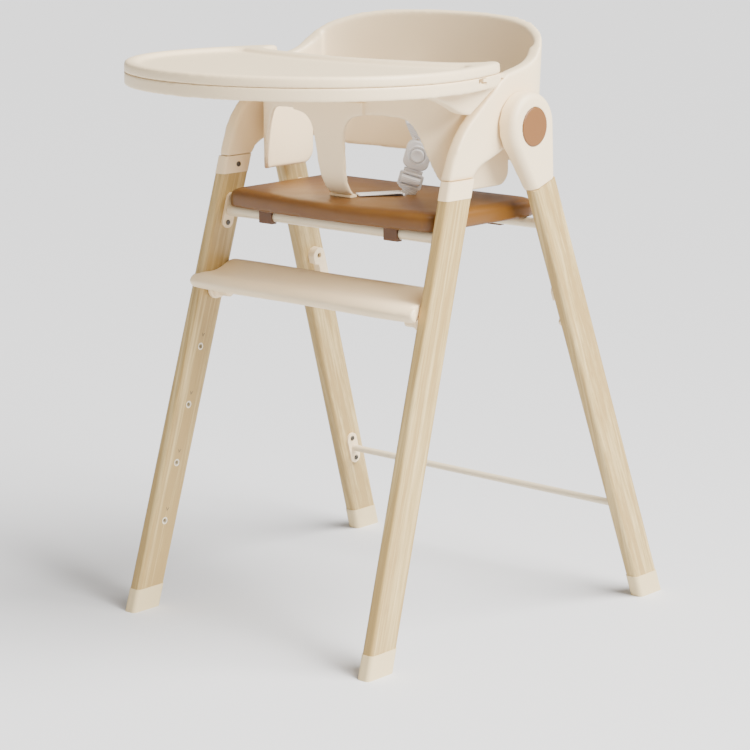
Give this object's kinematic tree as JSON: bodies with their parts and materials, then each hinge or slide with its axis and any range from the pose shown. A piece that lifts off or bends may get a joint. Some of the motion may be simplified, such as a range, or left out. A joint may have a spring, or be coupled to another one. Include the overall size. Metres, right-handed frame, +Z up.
{
  "type": "high chair",
  "caption": "Folding baby high chair with wooden legs, a moulded wrap-round shell, front guard, removable tray, padded seat, footrest and harness.",
  "frame": {"origin": "centre of the bounding box, on the floor", "axes": "+Z up, the child faces -Y, the child's left is +X"},
  "size_m": [0.5336, 0.6388, 0.78],
  "materials": {
    "cream_plastic": "satin moulded",
    "pale_wood": "clear matt lacquer, straight grain",
    "tan_cushion": "soft leatherette over foam",
    "tan_plastic": "satin moulded",
    "tan_disc": "satin",
    "cream_metal": "satin powder coat",
    "steel": "plain",
    "brass": "plain",
    "grey_plastic": "satin moulded",
    "webbing": "woven webbing"
  },
  "bodies": {
    "chair": {"front_leg_left": "pale_wood", "front_leg_right": "pale_wood", "front_foot_left": "cream_plastic", "front_foot_right": "cream_plastic", "arm_collar_left": "cream_plastic", "arm_collar_right": "cream_plastic", "front_bar_plate_left": "cream_plastic", "front_bar_plate_right": "cream_plastic", "hinge_pin_left": "steel", "hinge_pin_right": "steel", "leg_inserts_left": "brass", "leg_inserts_right": "brass", "shoulder_strap_left": "webbing", "shoulder_strap_right": "webbing", "collar_screws": "steel", "front_plate_screws": "steel", "front_seat_bar": "cream_metal", "seat_shell": "cream_plastic", "front_guard": "cream_plastic", "post_foot": "cream_plastic", "seat_pad": "tan_cushion", "seat_base": "tan_plastic", "front_seat_clips": "tan_plastic", "rear_seat_clips": "tan_plastic", "footrest": "cream_plastic", "crotch_strap": "webbing", "strap_adjuster": "grey_plastic", "buckle_body": "grey_plastic"},
    "rear_frame": {"rear_leg_left": "pale_wood", "rear_leg_right": "pale_wood", "rear_foot_left": "cream_plastic", "rear_foot_right": "cream_plastic", "hub_cap_left": "cream_plastic", "hub_cap_right": "cream_plastic", "hinge_bush_left": "brass", "hinge_bush_right": "brass", "rear_bar_plate_left": "cream_plastic", "rear_bar_plate_right": "cream_plastic", "crossbar_plate_left": "cream_plastic", "crossbar_plate_right": "cream_plastic", "tray_hook_left": "cream_plastic", "tray_hook_right": "cream_plastic", "button_spring_left": "steel", "button_spring_right": "steel", "rear_plate_screws": "steel", "crossbar_screws": "steel", "hook_screws": "steel", "rear_seat_bar": "cream_metal", "rear_crossbar": "cream_metal"},
    "hub_button_left": {"hub_button_left": "tan_disc"},
    "hub_button_right": {"hub_button_right": "tan_disc"},
    "tray": {"tray_liner": "cream_plastic", "tray_base": "cream_plastic", "latch_spring_left": "steel", "latch_spring_right": "steel"},
    "tray_latch_left": {"tray_latch_left": "cream_plastic"},
    "tray_latch_right": {"tray_latch_right": "cream_plastic"},
    "footrest_knob_left": {"footrest_knob_left": "cream_plastic"},
    "footrest_knob_right": {"footrest_knob_right": "cream_plastic"},
    "buckle_button": {"buckle_button": "grey_plastic"}
  },
  "joints": [
    {"name": "fold", "type": "hinge", "parent": "chair", "child": "rear_frame", "pos_m": [0, 0.07053, 0.652], "axis": [1, 0, 0], "range_deg": [-35, 0]},
    {"name": "tray_slide", "type": "slide", "parent": "chair", "child": "tray", "axis": [0, -1, 0], "range_m": [0, 0.1]},
    {"name": "buckle_press", "type": "slide", "parent": "chair", "child": "buckle_button", "axis": [-0.5528, 0.8245, 0.1212], "range_m": [0, 0.002], "stiffness_N_per_m": 500, "springref_m": -0.0006},
    {"name": "hub_press_left", "type": "slide", "parent": "rear_frame", "child": "hub_button_left", "axis": [-1, 0, 0], "range_m": [0, 0.004], "stiffness_N_per_m": 900, "springref_m": -0.0015, "deforming": ["button_spring_left"]},
    {"name": "latch_pull_left", "type": "slide", "parent": "tray", "child": "tray_latch_left", "axis": [0, -1, 0], "range_m": [0, 0.007], "stiffness_N_per_m": 300, "springref_m": -0.003, "deforming": ["latch_spring_left"]},
    {"name": "knob_turn_left", "type": "hinge", "parent": "chair", "child": "footrest_knob_left", "pos_m": [0, -0.08749, 0.41956], "axis": [1, 0, 0], "continuous": true},
    {"name": "hub_press_right", "type": "slide", "parent": "rear_frame", "child": "hub_button_right", "axis": [1, 0, 0], "range_m": [0, 0.004], "stiffness_N_per_m": 900, "springref_m": -0.0015, "deforming": ["button_spring_right"]},
    {"name": "latch_pull_right", "type": "slide", "parent": "tray", "child": "tray_latch_right", "axis": [0, -1, 0], "range_m": [0, 0.007], "stiffness_N_per_m": 300, "springref_m": -0.003, "deforming": ["latch_spring_right"]},
    {"name": "knob_turn_right", "type": "hinge", "parent": "chair", "child": "footrest_knob_right", "pos_m": [0, -0.08749, 0.41956], "axis": [1, 0, 0], "continuous": true}
  ]
}
